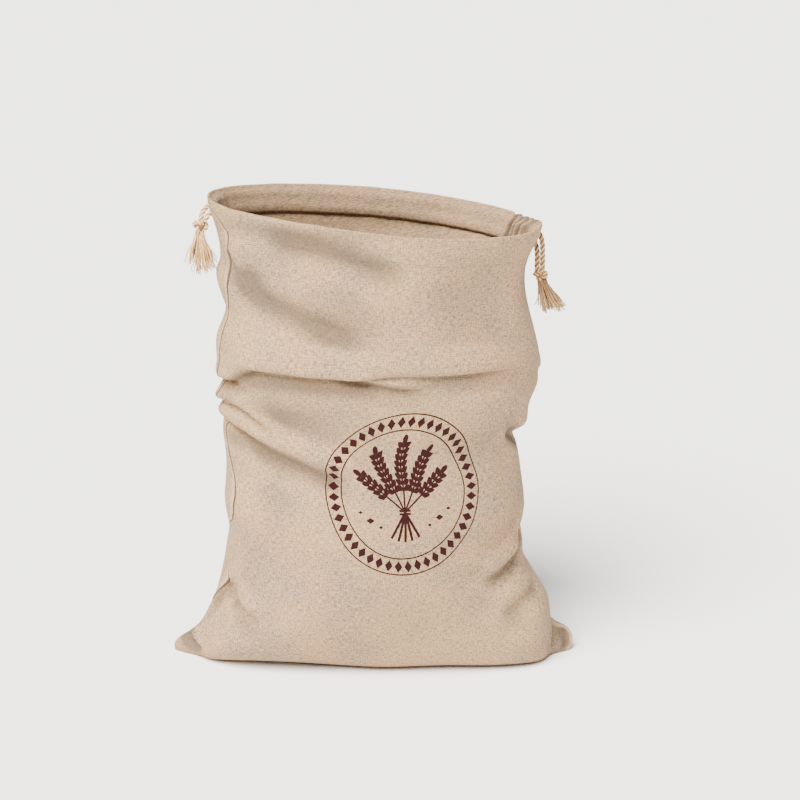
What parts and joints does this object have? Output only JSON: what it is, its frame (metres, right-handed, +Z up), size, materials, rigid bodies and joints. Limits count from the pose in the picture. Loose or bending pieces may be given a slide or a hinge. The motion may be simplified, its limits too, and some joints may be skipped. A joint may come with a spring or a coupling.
{
  "type": "drawstring bread bag",
  "caption": "Tall linen bag standing open, with a channelled mouth and a knotted, frayed drawstring at each side.",
  "frame": {"origin": "middle of the bag's outline from above, at the level of the surface that it stands on", "axes": "+Z up through the mouth, +X from the left side seam to the right one, -Y out of the front"},
  "size_m": [0.2982, 0.1433, 0.3504],
  "materials": {
    "linen": "natural plain-woven linen, matt",
    "cord": "three-strand laid cotton, matt"
  },
  "bodies": {
    "root": {"bag_cloth": "linen", "left_cord_front": "cord", "left_cord_back": "cord", "right_cord_front": "cord", "right_cord_back": "cord", "left_knot": "cord", "right_knot": "cord", "left_tassel": "cord", "right_tassel": "cord"}
  },
  "joints": []
}
